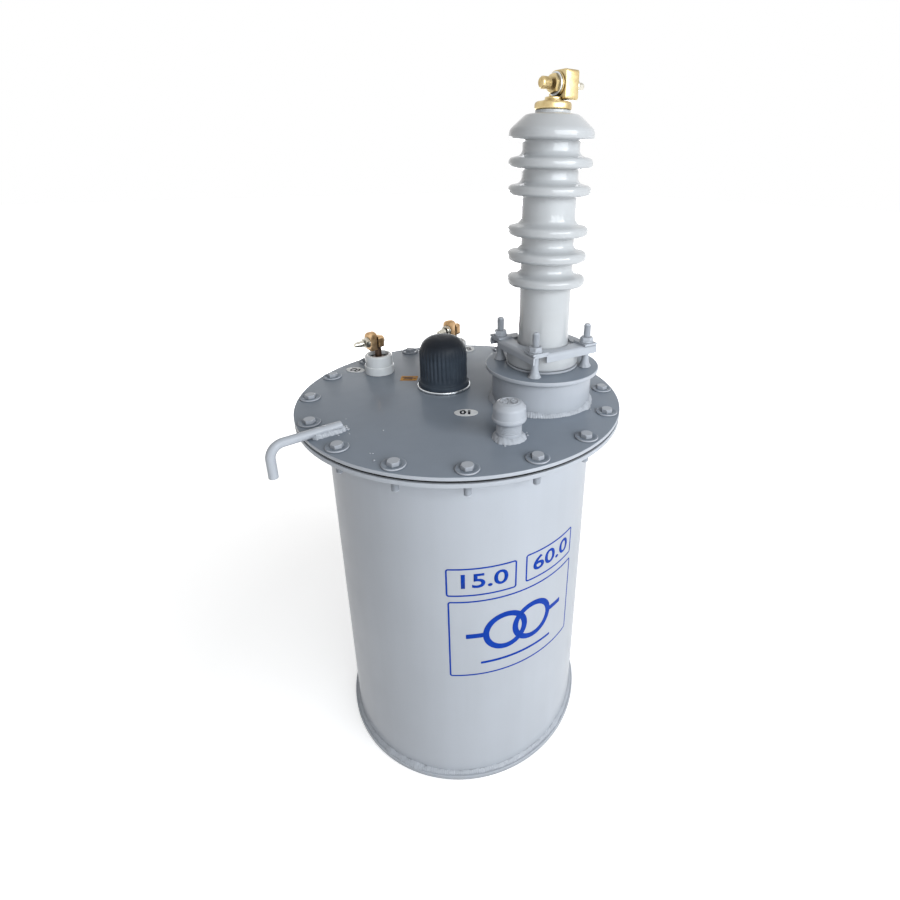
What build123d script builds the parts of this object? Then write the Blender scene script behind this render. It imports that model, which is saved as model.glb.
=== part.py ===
import os
from math import cos, radians, sin, tan

from build123d import *

# Single-phase pole mounted distribution transformer, in millimetres.
# The origin is the centre of the base, +Z is up, and the pole is on the +Y side.

# Tank
tank_diameter = 398
tank_wall = 3
shell_height = 568.5
base_reach = 7.5
base_thickness = 8
base_weld_leg = 5

# Bolted cover joint
flange_reach = 41
cover_thickness = 5
cover_edge_round = 1
gasket_thickness = 3.5
gasket_inset = 2.5
flange_thickness = 6
bolt_edge = 17.8
bolt_count = 16
bolt_hole = 11

# Turret that carries the high-voltage bushing
hv_offset_share = 0.5104
hv_angle = -43.4
turret_diameter = 146
turret_wall = 4
turret_height = 49
turret_weld_leg = 5
turret_flange_diameter = 166
turret_flange_thickness = 6

# High-voltage porcelain, sheds measured up from the underside of each
hv_gasket_thickness = 3
hv_gasket_lip = 1
hv_collar_diameter = 103
hv_collar_height = 28
hv_collar_round = 4
hv_stem_diameter = 73
hv_tail_diameter = 60
hv_tail_length = 96
hv_tail_clearance = 2
shed_diameter = 108
shed_thickness = 12
shed_slope = 12
shed_lower_share = 0.38
shed_upper_share = 0.5
shed_root_share = 0.46
shed_under_share = 0.15
sheds_per_group = 3
shed_pitch = 32.6
group_pitch = 50
first_shed_height = 113.9
crown_rim = 11.5
crown_rim_share = 0.8
crown_shoulder_diameter = 67
crown_shoulder_height = 29.3
crown_shoulder_share = 0.12
crown_fall = 0.5
crown_rise = 34
hv_neck_diameter = 44
hv_neck_round = 2

# Pressed clamp of four interlocked bars on welded studs
clamp_angle = -8
stud_spacing = 89
stud_diameter = 10
stud_length = 63.5
stud_foot_diameter = 20
stud_foot_height = 10
clamp_sheet = 3
clamp_edge = 11
clamp_tab = 22
clamp_depth = 34
clamp_skirt = 12
clamp_bend = 5
clamp_hole_clearance = 3
clamp_seam = 0.5
stud_hole_clearance = 1
washer_diameter = 19
washer_thickness = 2
nut_flats = 16
nut_height = 11

# High-voltage terminal: cap nut and block, sizes along the clamp bolt, then across it
fit_clearance = 0.3
hv_cap_diameter = 46
hv_cap_height = 9.5
hv_cap_round_share = 0.42
hv_rod_diameter = 14
hv_rod_length = 60
hv_foot_diameter = 21
hv_foot_height = 5
hv_bolt_angle = 175
hv_block_face = -5.5
hv_block_thickness = 21
hv_block_width = 32
hv_block_height = 33
hv_block_lift = 2
hv_block_shares = (0.1, 0.1, 0.32, 0.1)
hv_bolt_diameter = 14
hv_bolt_height = 19.5
hv_bolt_stub = 11
hv_bolt_tip = 20
hv_nut_flats = 20
hv_nut_height = 10
hv_flat_washer = 28
hv_spring_washer = 26.5
hv_washer_thickness = 2.4

# Low-voltage bushings
lv_offset_share = 0.6985
lv_angles = (107.6, 57.7)
lv_collar_diameter = 47.6
lv_collar_height = 14
lv_collar_round = 1.5
lv_crown_diameter = 44.6
lv_height = 32
lv_round = 2.8
lv_recess_diameter = 33
lv_recess_depth = 9
lv_tail_diameter = 31
lv_tail_length = 45
lv_tail_clearance = 1

# Low-voltage connectors: a block on the post and a loose jaw pulled up to it
lv_post_diameter = 11
lv_foot_diameter = 18
lv_foot_height = 5
lv_bolt_angles = (187, 198)
lv_block_face = 3.6
lv_block_thickness = 10.6
lv_block_width = 19
lv_block_height = 18.5
lv_block_lift = 12.7
lv_block_shares = (0.12, 0.2, 0.3, 0.12)
lv_jaw_gap = 2.7
lv_jaw_thickness = 12
lv_jaw_diameter = 32
lv_jaw_width = 17
lv_jaw_round = 5.5
lv_bolt_diameter = 11
lv_bolt_height = 23.5
lv_bolt_stub = 14
lv_stub_taper = 8
lv_bolt_tip = 4
lv_nut_flats = 15
lv_nut_height = 8
lv_flat_washer = 17
lv_spring_washer = 16
lv_washer_thickness = 1.6

# Ribbed cap over the tap changer
cap_place_shares = (-0.0038, 0.175)
cap_seat_diameter = 83
cap_seat_height = 4
cap_flange_diameter = 79.5
cap_flange_height = 7
cap_diameter = 73
cap_height = 78
cap_wall = 4
cap_shoulder = 27
cap_dome = 1.5
cap_flutes = 36
cap_flute_diameter = 4
cap_flute_depth = 1
cap_ring_height = 8

# Pressure relief fitting
relief_offset_share = 0.658
relief_angle = -102.5
relief_pipe_diameter = 33.4
relief_pipe_wall = 3.4
relief_pipe_height = 45
relief_cap_diameter = 44.6
relief_cap_height = 28
relief_cap_top = 6
relief_cap_round = 8
relief_weld_leg = 5

# Lifting hooks on the cover
hook_rod = 12
hook_foot = 48
hook_reach = 45.5
hook_drop = 44
hook_bend = 18

# Hanger brackets on the pole side
bracket_spacing = 285.75
bracket_level_share = 0.52
bracket_width = 104
bracket_height = 92
bracket_plate = 6
bracket_bend = 8
bracket_stand = 52
slot_width = 18
slot_length = 42

# Crown of every fillet weld, as a share of its leg
weld_crown_share = 0.62

# One overrun serves every cut
overrun = 1

# Values that follow from the sizes above
tank_radius = tank_diameter / 2
base_radius = tank_radius + base_reach
rim_radius = tank_radius + flange_reach
bolt_radius = rim_radius - bolt_edge
flange_top = base_thickness + shell_height
cover_bottom = flange_top + gasket_thickness
cover_top = cover_bottom + cover_thickness
turret_top = cover_top + turret_height
seat_top = turret_top + turret_flange_thickness
collar_bottom = seat_top + hv_gasket_thickness
clamp_bottom = collar_bottom + hv_collar_height
hv_offset = rim_radius * hv_offset_share
hv_x = hv_offset * cos(radians(hv_angle))
hv_y = hv_offset * sin(radians(hv_angle))
cap_x = rim_radius * cap_place_shares[0]
cap_y = rim_radius * cap_place_shares[1]
relief_offset = rim_radius * relief_offset_share
relief_x = relief_offset * cos(radians(relief_angle))
relief_y = relief_offset * sin(radians(relief_angle))
lv_offset = rim_radius * lv_offset_share
lv_places = [(lv_offset * cos(radians(a)), lv_offset * sin(radians(a))) for a in lv_angles]
stud_places = [(x * stud_spacing / 2, y * stud_spacing / 2) for x in (-1, 1) for y in (-1, 1)]

os.makedirs("parts", exist_ok=True)


def upright(x, y, z):
    # Vertical plane through a point: its own y axis points up
    return Plane(origin=(x, y, z), x_dir=(1, 0, 0), z_dir=(0, -1, 0))


def pillar(x, y):
    # Vertical axis through a point of the cover
    return Axis((x, y, 0), (0, 0, 1))


def save(shape, name):
    shape.label = name
    export_step(shape, f"parts/{name}.step")


def turned(x, y, z, corners):
    # Solid turned about an upright axis; each corner is a radius, a height and a rounding
    with BuildPart() as body:
        with BuildSketch(upright(x, y, z)):
            with BuildLine():
                points = [(radius, height) for radius, height, rounding in corners]
                FilletPolyline(*points, radius=[corner[2] for corner in corners], close=True)
            make_face()
        revolve(axis=pillar(x, y))
    return body.part


def weld_ring(name, x, y, z, radius, leg):
    # Fillet weld round the foot of a tube, with a crowned bead
    crown = leg * weld_crown_share
    with BuildPart() as weld:
        with BuildSketch(upright(x, y, z)):
            with BuildLine():
                Line((radius, 0), (radius + leg, 0))
                ThreePointArc((radius + leg, 0), (radius + crown, crown), (radius, leg))
                Line((radius, leg), (radius, 0))
            make_face()
        revolve(axis=pillar(x, y))
    save(weld.part, name)


# Base plate, a disc that reaches past the wall
with BuildPart() as base_plate:
    with BuildSketch():
        Circle(base_radius)
    extrude(amount=base_thickness)
    rim = base_plate.faces().sort_by(Axis.Z)[-1].edges()
    chamfer(rim, base_thickness / 4)
save(base_plate.part, "base_plate")

# Rolled tank wall
with BuildPart() as tank_shell:
    with BuildSketch(Plane.XY.offset(base_thickness)):
        Circle(tank_radius)
        Circle(tank_radius - tank_wall, mode=Mode.SUBTRACT)
    extrude(amount=shell_height)
save(tank_shell.part, "tank_shell")
weld_ring("base_weld", 0, 0, base_thickness, tank_radius, base_weld_leg)

# Flange ring welded flush with the top of the wall
with BuildPart() as tank_flange:
    with BuildSketch(Plane.XY.offset(flange_top - flange_thickness)):
        Circle(rim_radius)
        Circle(tank_radius, mode=Mode.SUBTRACT)
        with PolarLocations(bolt_radius, bolt_count, start_angle=180 / bolt_count):
            Circle(bolt_hole / 2, mode=Mode.SUBTRACT)
    extrude(amount=flange_thickness)
save(tank_flange.part, "tank_flange")

# Cover gasket, set back from the edges of both plates
with BuildPart() as cover_gasket:
    with BuildSketch(Plane.XY.offset(flange_top)):
        Circle(rim_radius - gasket_inset)
        Circle(tank_radius - tank_wall, mode=Mode.SUBTRACT)
        with PolarLocations(bolt_radius, bolt_count, start_angle=180 / bolt_count):
            Circle(bolt_hole / 2, mode=Mode.SUBTRACT)
    extrude(amount=gasket_thickness)
save(cover_gasket.part, "cover_gasket")

# Cover plate with its bolt holes and the holes below each fitting
with BuildPart() as cover_plate:
    with BuildSketch(Plane.XY.offset(cover_bottom)):
        Circle(rim_radius)
        with PolarLocations(bolt_radius, bolt_count, start_angle=180 / bolt_count):
            Circle(bolt_hole / 2, mode=Mode.SUBTRACT)
        with Locations((hv_x, hv_y)):
            Circle(turret_diameter / 2 - turret_wall, mode=Mode.SUBTRACT)
        with Locations((relief_x, relief_y)):
            Circle(relief_pipe_diameter / 2 - relief_pipe_wall, mode=Mode.SUBTRACT)
        with Locations(*lv_places):
            Circle(lv_tail_diameter / 2 + lv_tail_clearance, mode=Mode.SUBTRACT)
    extrude(amount=cover_thickness)
    brim = cover_plate.edges().filter_by(GeomType.CIRCLE).sort_by(SortBy.RADIUS)[-2:]
    fillet(brim, cover_edge_round)
save(cover_plate.part, "cover_plate")

# Turret tube, its foot weld and its top flange
with BuildPart() as hv_turret:
    with BuildSketch(Plane.XY.offset(cover_top)):
        with Locations((hv_x, hv_y)):
            Circle(turret_diameter / 2)
            Circle(turret_diameter / 2 - turret_wall, mode=Mode.SUBTRACT)
    extrude(amount=turret_height)
save(hv_turret.part, "hv_turret")
weld_ring("hv_turret_weld", hv_x, hv_y, cover_top, turret_diameter / 2, turret_weld_leg)

with BuildPart() as hv_turret_flange:
    with BuildSketch(Plane.XY.offset(turret_top)):
        with Locations((hv_x, hv_y)):
            Circle(turret_flange_diameter / 2)
            Circle(hv_tail_diameter / 2 + hv_tail_clearance, mode=Mode.SUBTRACT)
    extrude(amount=turret_flange_thickness)
    brim = hv_turret_flange.edges().filter_by(GeomType.CIRCLE).sort_by(SortBy.RADIUS)[-2:]
    fillet(brim, cover_edge_round)
save(hv_turret_flange.part, "hv_turret_flange")

with BuildPart() as hv_gasket:
    with BuildSketch(Plane.XY.offset(seat_top)):
        with Locations((hv_x, hv_y)):
            Circle(hv_collar_diameter / 2 + hv_gasket_lip)
            Circle(hv_tail_diameter / 2 + hv_tail_clearance, mode=Mode.SUBTRACT)
    extrude(amount=hv_gasket_thickness)
save(hv_gasket.part, "hv_gasket")

# High-voltage porcelain: tail, collar and stem with two groups of sheds under a domed crown
hv_bore = hv_rod_diameter / 2 + fit_clearance
hv_stem = hv_stem_diameter / 2
hv_tail = hv_tail_diameter / 2
hv_neck = hv_neck_diameter / 2
hv_collar = hv_collar_diameter / 2
shed_edge = shed_diameter / 2
shed_reach = shed_edge - hv_stem
shed_lower = shed_thickness * shed_lower_share
shed_under = shed_reach * shed_under_share
group_rise = (sheds_per_group - 1) * shed_pitch + group_pitch
shed_count = 2 * sheds_per_group
porcelain = [
    (hv_bore, -hv_tail_length, 0),
    (hv_tail, -hv_tail_length, 0),
    (hv_tail, 0, 0),
    (hv_collar, 0, hv_collar_round),
    (hv_collar, hv_collar_height, hv_collar_round),
    (hv_stem, hv_collar_height, 0),
]
for shed in range(shed_count):
    group, place = divmod(shed, sheds_per_group)
    underside = first_shed_height + group * group_rise + place * shed_pitch
    porcelain.append((hv_stem, underside, shed_under))
    porcelain.append((shed_edge, underside, shed_lower))
    if shed < shed_count - 1:
        root = underside + shed_thickness + shed_reach * tan(radians(shed_slope))
        porcelain.append((shed_edge, underside + shed_thickness, shed_thickness * shed_upper_share))
        porcelain.append((hv_stem, root, shed_reach * shed_root_share))
crown_shoulder = crown_shoulder_diameter / 2
crown_foot = underside + crown_shoulder_height + crown_fall
hv_crown_height = underside + crown_rise
porcelain.append((shed_edge, underside + crown_rim, crown_rim * crown_rim_share))
porcelain.append((crown_shoulder, crown_foot - crown_fall, crown_shoulder_diameter * crown_shoulder_share))
porcelain.append((hv_neck, crown_foot, hv_neck_round))
porcelain.append((hv_neck, hv_crown_height, 0))
porcelain.append((hv_bore, hv_crown_height, 0))
hv_top = collar_bottom + hv_crown_height
save(turned(hv_x, hv_y, collar_bottom, porcelain), "hv_bushing")

# One pressed clamp bar: flat top hollowed round the stem, bent skirt outside,
# a low end and a raised end tab that laps over the next bar's low end
outer = stud_spacing / 2 + clamp_edge
inner = outer - clamp_tab
with BuildPart() as clamp_bar:
    with BuildSketch():
        with Locations((0, -outer)):
            waist = 2 * (outer - clamp_depth - clamp_seam)
            Rectangle(waist, clamp_depth, align=(Align.CENTER, Align.MIN))
        with Locations((clamp_seam - inner, -outer)):
            Rectangle(outer + inner - clamp_seam, clamp_tab, align=(Align.MIN, Align.MIN))
        Circle(hv_stem + clamp_hole_clearance, mode=Mode.SUBTRACT)
    extrude(amount=clamp_sheet)
    with BuildSketch(Plane.XY.offset(clamp_sheet - clamp_skirt)):
        with Locations((clamp_seam - inner, -outer)):
            Rectangle(outer + inner - clamp_seam, clamp_sheet, align=(Align.MIN, Align.MIN))
    extrude(amount=clamp_skirt)
    bend = clamp_bar.edges().filter_by(Axis.X).group_by(Axis.Z)[-1].sort_by(Axis.Y)[0]
    fillet(bend, clamp_bend)
    with BuildSketch(Plane.XY.offset(clamp_sheet)):
        with Locations((-outer, -outer)):
            Rectangle(clamp_tab + clamp_sheet, clamp_tab, align=(Align.MIN, Align.MIN))
    extrude(amount=clamp_sheet)
    with BuildSketch():
        with Locations((-inner + clamp_seam, clamp_bend - outer)):
            Rectangle(clamp_sheet, clamp_tab - clamp_bend, align=(Align.MIN, Align.MIN))
    extrude(amount=clamp_sheet)
    with BuildSketch(Plane.XY.offset(-overrun)):
        with Locations((-stud_spacing / 2, -stud_spacing / 2), (stud_spacing / 2, -stud_spacing / 2)):
            Circle(stud_diameter / 2 + stud_hole_clearance)
    extrude(amount=2 * (clamp_sheet + overrun), mode=Mode.SUBTRACT)

for side, turn in {"front": 0, "right": 90, "back": 180, "left": 270}.items():
    with BuildPart() as bar:
        with Locations(Location((hv_x, hv_y, clamp_bottom), (0, 0, clamp_angle + turn))):
            add(clamp_bar.part)
    save(bar.part, f"hv_clamp_{side}")

# Studs with flared weld feet, and a washer and nut on each
clamp_ground = Plane(Location((hv_x, hv_y, seat_top), (0, 0, clamp_angle)))
with BuildPart() as hv_clamp_studs:
    with BuildSketch(clamp_ground):
        with Locations(*stud_places):
            Circle(stud_diameter / 2)
    extrude(amount=stud_length)
    chamfer(hv_clamp_studs.edges().group_by(Axis.Z)[-1], stud_diameter / 8)
    with Locations(clamp_ground):
        with Locations(*[(x, y, stud_foot_height / 2) for x, y in stud_places]):
            Cone(stud_foot_diameter / 2, stud_diameter / 2, stud_foot_height)
save(hv_clamp_studs.part, "hv_clamp_studs")

nut_ground = clamp_ground.offset(clamp_bottom - seat_top + 2 * clamp_sheet)
with BuildPart() as hv_clamp_nuts:
    with BuildSketch(nut_ground):
        with Locations(*stud_places):
            Circle(washer_diameter / 2)
    extrude(amount=washer_thickness)
    with BuildSketch(nut_ground.offset(washer_thickness)):
        with Locations(*stud_places):
            RegularPolygon(nut_flats / 2, 6, major_radius=False)
    extrude(amount=nut_height)
    with BuildSketch(nut_ground):
        with Locations(*stud_places):
            Circle(stud_diameter / 2)
    extrude(amount=washer_thickness + nut_height, mode=Mode.SUBTRACT)
save(hv_clamp_nuts.part, "hv_clamp_nuts")


def cheek(width, height, bottom, shares):
    # Outline of a connector cheek, each corner rounded by a share of its width
    half = width / 2
    top = bottom + height
    with BuildSketch() as outline:
        with BuildLine():
            FilletPolyline(
                (half, bottom),
                (half, top),
                (-half, top),
                (-half, bottom),
                radius=[width * share for share in shares],
                close=True,
            )
        make_face()
    return outline.sketch


def connector(prefix, x, y, z, turn, size):
    # Clamp connector on a post: block, loose jaw where there is one, and a bolt with its nut.
    # Its own x axis runs along the bolt, towards the nut.
    frame = Plane(Location((x, y, z), (0, 0, turn)))
    along = Plane(origin=frame.origin, x_dir=frame.y_dir, z_dir=frame.x_dir)
    block_back = size["block_face"] - size["block_thickness"]
    hole = size["bolt_diameter"] / 2 + fit_clearance
    with BuildPart() as block:
        with BuildSketch(along.offset(block_back)):
            lift = size["block_lift"]
            add(cheek(size["block_width"], size["block_height"], lift, size["block_shares"]))
        extrude(amount=size["block_thickness"])
        with BuildSketch(frame.offset(-size["post_length"])):
            Circle(size["post_diameter"] / 2)
        extrude(amount=size["post_length"] + size["block_lift"] + fit_clearance)
        foot_bottom = size["foot_top"] - size["foot_height"]
        with BuildSketch(frame.offset(foot_bottom)):
            Circle(size["foot_diameter"] / 2)
        extrude(amount=size["foot_height"])
        with BuildSketch(along.offset(block_back)):
            with Locations((0, size["bolt_height"])):
                Circle(hole)
        extrude(amount=size["block_thickness"], mode=Mode.SUBTRACT)
    save(block.part, f"{prefix}_block")
    seat = size["block_face"]
    if "jaw_gap" in size:
        jaw_back = size["block_face"] + size["jaw_gap"]
        seat = jaw_back + size["jaw_thickness"]
        with BuildPart() as jaw:
            with BuildSketch(along.offset(jaw_back)):
                with Locations((0, size["bolt_height"])):
                    Circle(size["jaw_diameter"] / 2)
            extrude(amount=size["jaw_thickness"])
            fillet(jaw.edges().sort_by(Axis(frame.origin, frame.x_dir))[-1], size["jaw_round"])
            with BuildSketch(along.offset(jaw_back)):
                with Locations((0, size["bolt_height"])):
                    Rectangle(size["jaw_width"], size["jaw_diameter"])
            extrude(amount=size["jaw_thickness"], mode=Mode.INTERSECT)
            with BuildSketch(along.offset(jaw_back)):
                with Locations((0, size["bolt_height"])):
                    Circle(hole)
            extrude(amount=size["jaw_thickness"], mode=Mode.SUBTRACT)
        save(jaw.part, f"{prefix}_jaw")
    nut_face = seat + 2 * size["washer_thickness"]
    nut_end = nut_face + size["nut_height"]
    shank_start = block_back - size["bolt_tip"]
    with BuildPart() as bolt:
        with BuildSketch(along.offset(shank_start)):
            with Locations((0, size["bolt_height"])):
                Circle(size["bolt_diameter"] / 2)
        extrude(amount=nut_end - shank_start)
        for number, washer in enumerate(size["washers"]):
            with BuildSketch(along.offset(seat + number * size["washer_thickness"])):
                with Locations((0, size["bolt_height"])):
                    Circle(washer / 2)
            extrude(amount=size["washer_thickness"])
        with BuildSketch(along.offset(nut_face)):
            with Locations((0, size["bolt_height"])):
                RegularPolygon(size["nut_flats"] / 2, 6, major_radius=False)
        extrude(amount=size["nut_height"])
        with BuildSketch(along.offset(nut_end)):
            with Locations((0, size["bolt_height"])):
                Circle(size["bolt_diameter"] / 2)
        extrude(amount=size["bolt_stub"], taper=size["stub_taper"])
    save(bolt.part, f"{prefix}_bolt")


# High-voltage terminal: round cap nut on the porcelain and the connector above it
hv_cap = hv_cap_diameter / 2
hv_cap_round = hv_cap_height * hv_cap_round_share
cap_nut = [
    (hv_bore, 0, 0),
    (hv_cap, 0, hv_cap_round),
    (hv_cap, hv_cap_height, hv_cap_round),
    (hv_bore, hv_cap_height, 0),
]
save(turned(hv_x, hv_y, hv_top, cap_nut), "hv_terminal_nut")

hv_sizes = {
    "block_face": hv_block_face,
    "block_thickness": hv_block_thickness,
    "block_width": hv_block_width,
    "block_height": hv_block_height,
    "block_lift": hv_block_lift,
    "block_shares": hv_block_shares,
    "post_diameter": hv_rod_diameter,
    "post_length": hv_rod_length,
    "foot_diameter": hv_foot_diameter,
    "foot_height": hv_foot_height,
    "foot_top": hv_foot_height,
    "bolt_diameter": hv_bolt_diameter,
    "bolt_height": hv_bolt_height,
    "bolt_stub": hv_bolt_stub,
    "stub_taper": 0,
    "bolt_tip": hv_bolt_tip,
    "nut_flats": hv_nut_flats,
    "nut_height": hv_nut_height,
    "washers": (hv_flat_washer, hv_spring_washer),
    "washer_thickness": hv_washer_thickness,
}
connector("hv_terminal", hv_x, hv_y, hv_top + hv_cap_height, hv_bolt_angle, hv_sizes)

# Low-voltage porcelain sleeves and their connectors
lv_sizes = {
    "block_face": lv_block_face,
    "block_thickness": lv_block_thickness,
    "block_width": lv_block_width,
    "block_height": lv_block_height,
    "block_lift": lv_block_lift,
    "block_shares": lv_block_shares,
    "jaw_gap": lv_jaw_gap,
    "jaw_thickness": lv_jaw_thickness,
    "jaw_diameter": lv_jaw_diameter,
    "jaw_width": lv_jaw_width,
    "jaw_round": lv_jaw_round,
    "post_diameter": lv_post_diameter,
    "post_length": lv_height + lv_tail_length,
    "foot_diameter": lv_foot_diameter,
    "foot_height": lv_foot_height,
    "foot_top": lv_foot_height - lv_recess_depth,
    "bolt_diameter": lv_bolt_diameter,
    "bolt_height": lv_bolt_height,
    "bolt_stub": lv_bolt_stub,
    "stub_taper": lv_stub_taper,
    "bolt_tip": lv_bolt_tip,
    "nut_flats": lv_nut_flats,
    "nut_height": lv_nut_height,
    "washers": (lv_flat_washer, lv_spring_washer),
    "washer_thickness": lv_washer_thickness,
}
lv_bore = lv_post_diameter / 2 + fit_clearance
lv_collar = lv_collar_diameter / 2
lv_crown = lv_crown_diameter / 2
lv_recess = lv_recess_diameter / 2
lv_tail = lv_tail_diameter / 2
sleeve = [
    (lv_bore, -lv_tail_length, 0),
    (lv_tail, -lv_tail_length, 0),
    (lv_tail, 0, 0),
    (lv_collar, 0, 0),
    (lv_collar, lv_collar_height, lv_collar_round),
    (lv_crown, lv_collar_height, 0),
    (lv_crown, lv_height, lv_round),
    (lv_recess, lv_height, lv_collar_round),
    (lv_recess, lv_height - lv_recess_depth, 0),
    (lv_bore, lv_height - lv_recess_depth, 0),
]
for number, ((lv_x, lv_y), lv_turn) in enumerate(zip(lv_places, lv_bolt_angles), start=1):
    save(turned(lv_x, lv_y, cover_top, sleeve), f"lv_bushing_{number}")
    connector(f"lv_terminal_{number}", lv_x, lv_y, cover_top + lv_height, lv_turn, lv_sizes)

# Tap changer: steel seat and fluted cap
with BuildPart() as cap_seat:
    with BuildSketch(Plane.XY.offset(cover_top)):
        with Locations((cap_x, cap_y)):
            Circle(cap_seat_diameter / 2)
    extrude(amount=cap_seat_height)
save(cap_seat.part, "tap_cap_seat")

cap_bottom = cover_top + cap_seat_height
cap_radius = cap_diameter / 2
with BuildPart() as tap_cap:
    with BuildSketch(upright(cap_x, cap_y, cap_bottom)):
        with BuildLine():
            Polyline(
                (0, cap_height),
                (0, cap_height - cap_wall),
                (cap_radius - cap_shoulder, cap_height - cap_wall - cap_dome),
                (cap_radius - cap_wall, cap_height - cap_shoulder - cap_wall),
                (cap_radius - cap_wall, 0),
                (cap_flange_diameter / 2, 0),
                (cap_flange_diameter / 2, cap_flange_height),
                (cap_radius, cap_flange_height),
                (cap_radius, cap_height - cap_shoulder),
            )
            JernArc((cap_radius, cap_height - cap_shoulder), (0, 1), cap_shoulder - cap_dome, 90)
            Line((cap_radius - cap_shoulder + cap_dome, cap_height - cap_dome), (0, cap_height))
        make_face()
    revolve(axis=pillar(cap_x, cap_y))
    flute_bottom = cap_bottom + cap_flange_height + cap_ring_height
    with BuildSketch(Plane.XY.offset(flute_bottom)):
        with Locations((cap_x, cap_y)):
            with PolarLocations(cap_radius + cap_flute_diameter / 2 - cap_flute_depth, cap_flutes):
                Circle(cap_flute_diameter / 2)
    extrude(until=Until.LAST, mode=Mode.SUBTRACT)
save(tap_cap.part, "tap_cap")

# Pressure relief: pipe nipple, its weld and its cap
with BuildPart() as relief_pipe:
    with BuildSketch(Plane.XY.offset(cover_top)):
        with Locations((relief_x, relief_y)):
            Circle(relief_pipe_diameter / 2)
            Circle(relief_pipe_diameter / 2 - relief_pipe_wall, mode=Mode.SUBTRACT)
    extrude(amount=relief_pipe_height)
save(relief_pipe.part, "relief_pipe")
weld_ring("relief_weld", relief_x, relief_y, cover_top, relief_pipe_diameter / 2, relief_weld_leg)

relief_cap_bottom = cover_top + relief_pipe_height + relief_cap_top - relief_cap_height
with BuildPart() as relief_cap:
    with BuildSketch(Plane.XY.offset(relief_cap_bottom)):
        with Locations((relief_x, relief_y)):
            Circle(relief_cap_diameter / 2)
    extrude(amount=relief_cap_height)
    fillet(relief_cap.edges().group_by(Axis.Z)[-1], relief_cap_round)
    with BuildSketch(Plane.XY.offset(relief_cap_bottom)):
        with Locations((relief_x, relief_y)):
            Circle(relief_pipe_diameter / 2 + fit_clearance)
    extrude(amount=relief_cap_height - relief_cap_top, mode=Mode.SUBTRACT)
save(relief_cap.part, "relief_cap")

# Lifting hooks: round bar laid on the cover, out past its edge and bent down
hook_height = cover_top + hook_rod / 2
for side, sign in {"left": -1, "right": 1}.items():
    start = (sign * (rim_radius - hook_foot), 0, hook_height)
    corner = (sign * (rim_radius + hook_reach), 0, hook_height)
    tip = (sign * (rim_radius + hook_reach), 0, hook_height - hook_drop)
    with BuildPart() as hook:
        with BuildLine():
            FilletPolyline(start, corner, tip, radius=hook_bend)
        with BuildSketch(Plane(origin=start, z_dir=(sign, 0, 0))):
            Circle(hook_rod / 2)
        sweep()
    save(hook.part, f"lifting_hook_{side}")

# Hanger brackets: bent channels with their legs cut to the tank and a slotted face
face_y = tank_radius + bracket_stand
for level, sign in {"lower": -1, "upper": 1}.items():
    middle = flange_top * bracket_level_share + sign * bracket_spacing / 2
    with BuildPart() as bracket:
        with BuildSketch(Plane.XY.offset(middle - bracket_height / 2)):
            with Locations((0, face_y)):
                Rectangle(bracket_width, face_y, align=(Align.CENTER, Align.MAX))
            with Locations((0, face_y - bracket_plate)):
                opening = bracket_width - 2 * bracket_plate
                Rectangle(opening, face_y, align=(Align.CENTER, Align.MAX), mode=Mode.SUBTRACT)
            Circle(tank_radius, mode=Mode.SUBTRACT)
        extrude(amount=bracket_height)
        corners = bracket.edges().filter_by(Axis.Z).group_by(Axis.Y)[-1]
        fillet(corners, bracket_bend)
        with BuildSketch(Plane.XZ.offset(-face_y - overrun)):
            with Locations((0, middle)):
                SlotOverall(slot_length, slot_width, rotation=90)
        extrude(amount=bracket_plate + 2 * overrun, mode=Mode.SUBTRACT)
    save(bracket.part, f"pole_bracket_{level}")
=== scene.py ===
import math
import bmesh
import bpy
from types import SimpleNamespace
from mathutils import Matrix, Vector, noise


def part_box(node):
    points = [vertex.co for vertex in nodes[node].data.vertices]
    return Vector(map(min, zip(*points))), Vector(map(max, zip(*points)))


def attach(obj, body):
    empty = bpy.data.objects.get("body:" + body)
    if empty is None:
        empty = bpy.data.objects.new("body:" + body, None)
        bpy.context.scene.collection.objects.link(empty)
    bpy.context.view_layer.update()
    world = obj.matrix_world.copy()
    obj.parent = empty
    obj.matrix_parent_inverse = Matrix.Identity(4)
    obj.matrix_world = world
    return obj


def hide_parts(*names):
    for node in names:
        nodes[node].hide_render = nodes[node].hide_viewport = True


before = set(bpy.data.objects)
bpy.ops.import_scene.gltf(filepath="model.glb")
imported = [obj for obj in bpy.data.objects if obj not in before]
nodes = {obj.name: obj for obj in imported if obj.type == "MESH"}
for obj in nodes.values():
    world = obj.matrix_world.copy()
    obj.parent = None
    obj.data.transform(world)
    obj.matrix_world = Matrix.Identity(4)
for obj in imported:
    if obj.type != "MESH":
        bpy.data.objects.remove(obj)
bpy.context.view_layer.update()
print("frame loaded:", len(nodes), "nodes")

mm = 0.001


# camera and light

cameraSet = {
    "place": (-0.4385, -0.6148, 0.9084),  # metres, front left of the tank
    "pitchDown": 0.3995,
    "heading": -40.32,
    "roll": 0.0135,
    "focalPixels": 534.71,
    "centreX": 501.54,
    "centreY": 390.57,
    "imageSize": 900,
    "sensor": 36,
    "clipStart": 0.01,
}

lightSet = {
    "worldStrength": 0.23,
    "worldTint": (1.0, 0.965, 0.93),
    "lamps": {  # place, aim, size, watts, tint
        "keyWindow": ((-0.12, -2.1, 1.42), (0, 0, 0.55), (2.4, 1.3), 52, (0.92, 0.965, 1.0)),
        "glintStrip": ((0.62, -1.75, 1.3), (0, 0, 0.6), (0.55, 0.14), 4, (1.0, 1.0, 1.0)),
        "rimBack": ((1.2, 1.7, 0.42), (0, 0, 0.36), (2.0, 0.8), 30, (0.97, 0.985, 1.0)),
    },
}


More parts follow.
